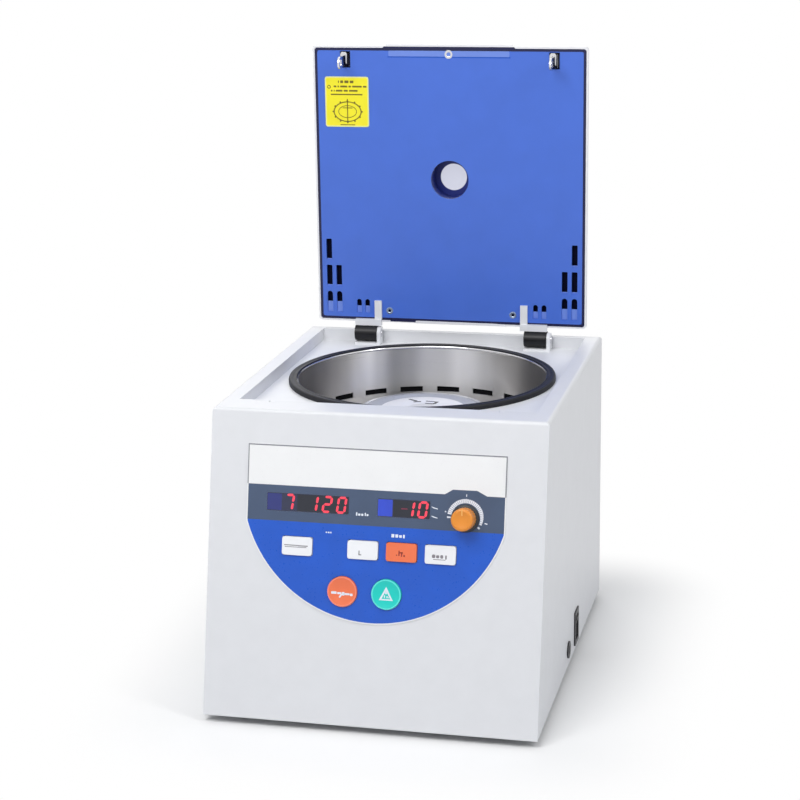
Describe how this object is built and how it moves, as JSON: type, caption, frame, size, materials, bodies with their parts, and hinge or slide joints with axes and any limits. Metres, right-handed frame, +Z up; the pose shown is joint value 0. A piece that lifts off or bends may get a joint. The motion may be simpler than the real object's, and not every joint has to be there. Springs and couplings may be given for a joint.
{
  "type": "microcentrifuge",
  "caption": "Bench-top microcentrifuge with an open flat lid, steel rotor chamber, covered rotor and sloped control panel.",
  "frame": {"origin": "on the table, under the middle of the machine's box with its lid open", "axes": "+Z up, the control panel faces -Y, +X to the right seen from the front"},
  "size_m": [0.262, 0.3386, 0.4871],
  "materials": {
    "casing_white": "satin powder coat",
    "deck_white": "satin powder coat",
    "plain_steel": "plain sheet",
    "bowl_steel": "brushed round the axis",
    "bright_steel": "polished",
    "black_rubber": "satin",
    "grey_rubber": "matte",
    "panel_film": "printed film, white, slate and blue",
    "display_glass": "dark window",
    "display_red": "LED module",
    "board_green": "circuit board",
    "key_white": "satin",
    "key_orange": "satin",
    "key_turquoise": "satin",
    "knob_orange": "satin",
    "black_plastic": "satin",
    "motor_grey": "painted casting",
    "copper": "wound copper",
    "rotor_alloy": "anodised",
    "cover_white": "smooth",
    "lid_white": "moulded",
    "liner_blue": "smooth",
    "tunnel_blue": "smooth",
    "clear_window": "clear",
    "label_yellow": "printed film",
    "barrel_black": "gloss black"
  },
  "bodies": {
    "housing": {"casing": "casing_white", "rear_panel": "casing_white", "base_plate": "plain_steel", "case_screws": "bright_steel", "rubber_feet": "grey_rubber", "top_deck": "deck_white", "deck_screws": "bright_steel", "chamber_bowl": "bowl_steel", "chamber_gasket": "black_rubber", "spindle_boot": "grey_rubber", "panel_overlay": "panel_film", "display_windows": "display_glass", "display_modules": "display_red", "control_board": "board_green", "board_posts": "bright_steel", "key_switches": "black_plastic", "knob_encoder": "plain_steel", "motor_housing": "motor_grey", "motor_cap": "motor_grey", "motor_stator": "copper", "motor_bearings": "bright_steel", "motor_plate": "plain_steel", "motor_mounts": "grey_rubber", "hinge_pins": "bright_steel", "hinge_brackets": "deck_white", "lock_frame": "plain_steel", "lock_solenoid": "copper", "power_switch_body": "black_plastic", "breaker_body": "black_plastic", "power_inlet": "black_plastic", "power_board": "board_green", "board_components": "black_plastic", "inlet_pins": "bright_steel"},
    "lid": {"lid_shell": "lid_white", "lid_liner": "liner_blue", "lid_tunnel": "tunnel_blue", "lid_window": "clear_window", "lid_strikers": "bright_steel", "liner_screws": "bright_steel", "lid_label": "label_yellow", "hinge_arms": "deck_white", "hinge_barrels": "barrel_black"},
    "spindle": {"drive_spindle": "bright_steel", "motor_magnet": "plain_steel", "rotor": "rotor_alloy", "rotor_nut": "bright_steel"},
    "rotor_cover": {"rotor_lid": "cover_white"},
    "cover_disc": {"rotor_lid_disc": "cover_white"},
    "knob": {"dial_knob": "knob_orange", "knob_skirt": "black_plastic", "knob_shaft": "bright_steel"},
    "key_left": {"key_left": "key_white"},
    "key_middle": {"key_middle": "key_white"},
    "key_orange": {"key_orange": "key_orange"},
    "key_right": {"key_right": "key_white"},
    "key_stop": {"key_stop": "key_orange"},
    "key_start": {"key_start": "key_turquoise"},
    "rocker": {"power_rocker": "black_plastic"},
    "breaker": {"breaker_button": "black_plastic"},
    "lock": {"lock_bar": "bright_steel"}
  },
  "joints": [
    {"name": "lid_hinge", "type": "hinge", "parent": "housing", "child": "lid", "pos_m": [-0.001, 0.1485, 0.2366], "axis": [1, 0, 0], "range_deg": [0, 90]},
    {"name": "spindle_spin", "type": "hinge", "parent": "housing", "child": "spindle", "pos_m": [-0.001, 0.0337, 0.15], "axis": [0, 0, 1], "continuous": true},
    {"name": "rotor_cover_lift", "type": "slide", "parent": "spindle", "child": "rotor_cover", "axis": [0, 0, 1], "range_m": [0, 0.028]},
    {"name": "cover_disc_turn", "type": "hinge", "parent": "rotor_cover", "child": "cover_disc", "pos_m": [-0.001, 0.0337, 0.15], "axis": [0, 0, 1], "range_deg": [0, 90]},
    {"name": "knob_turn", "type": "hinge", "parent": "housing", "child": "knob", "pos_m": [0.0688, -0.13866, 0.16626], "axis": [0, -0.976, 0.2178], "continuous": true},
    {"name": "rocker_tip", "type": "hinge", "parent": "housing", "child": "rocker", "pos_m": [0.1258, 0.0219, 0.025], "axis": [0, 1, 0], "range_deg": [0, 14]},
    {"name": "breaker_pop", "type": "slide", "parent": "housing", "child": "breaker", "axis": [1, 0, 0], "range_m": [0, 0.003]},
    {"name": "lock_slide", "type": "slide", "parent": "housing", "child": "lock", "axis": [1, 0, 0], "range_m": [0, 0.006], "stiffness_N_per_m": 200, "springref_m": -0.004},
    {"name": "key_left_press", "type": "slide", "parent": "housing", "child": "key_left", "axis": [0, 0.976, -0.2178], "range_m": [0, 0.0008], "stiffness_N_per_m": 500, "springref_m": -0.002},
    {"name": "key_middle_press", "type": "slide", "parent": "housing", "child": "key_middle", "axis": [0, 0.976, -0.2178], "range_m": [0, 0.0008], "stiffness_N_per_m": 500, "springref_m": -0.002},
    {"name": "key_orange_press", "type": "slide", "parent": "housing", "child": "key_orange", "axis": [0, 0.976, -0.2178], "range_m": [0, 0.0008], "stiffness_N_per_m": 500, "springref_m": -0.002},
    {"name": "key_right_press", "type": "slide", "parent": "housing", "child": "key_right", "axis": [0, 0.976, -0.2178], "range_m": [0, 0.0008], "stiffness_N_per_m": 500, "springref_m": -0.002},
    {"name": "key_stop_press", "type": "slide", "parent": "housing", "child": "key_stop", "axis": [0, 0.976, -0.2178], "range_m": [0, 0.0008], "stiffness_N_per_m": 500, "springref_m": -0.002},
    {"name": "key_start_press", "type": "slide", "parent": "housing", "child": "key_start", "axis": [0, 0.976, -0.2178], "range_m": [0, 0.0008], "stiffness_N_per_m": 500, "springref_m": -0.002}
  ]
}
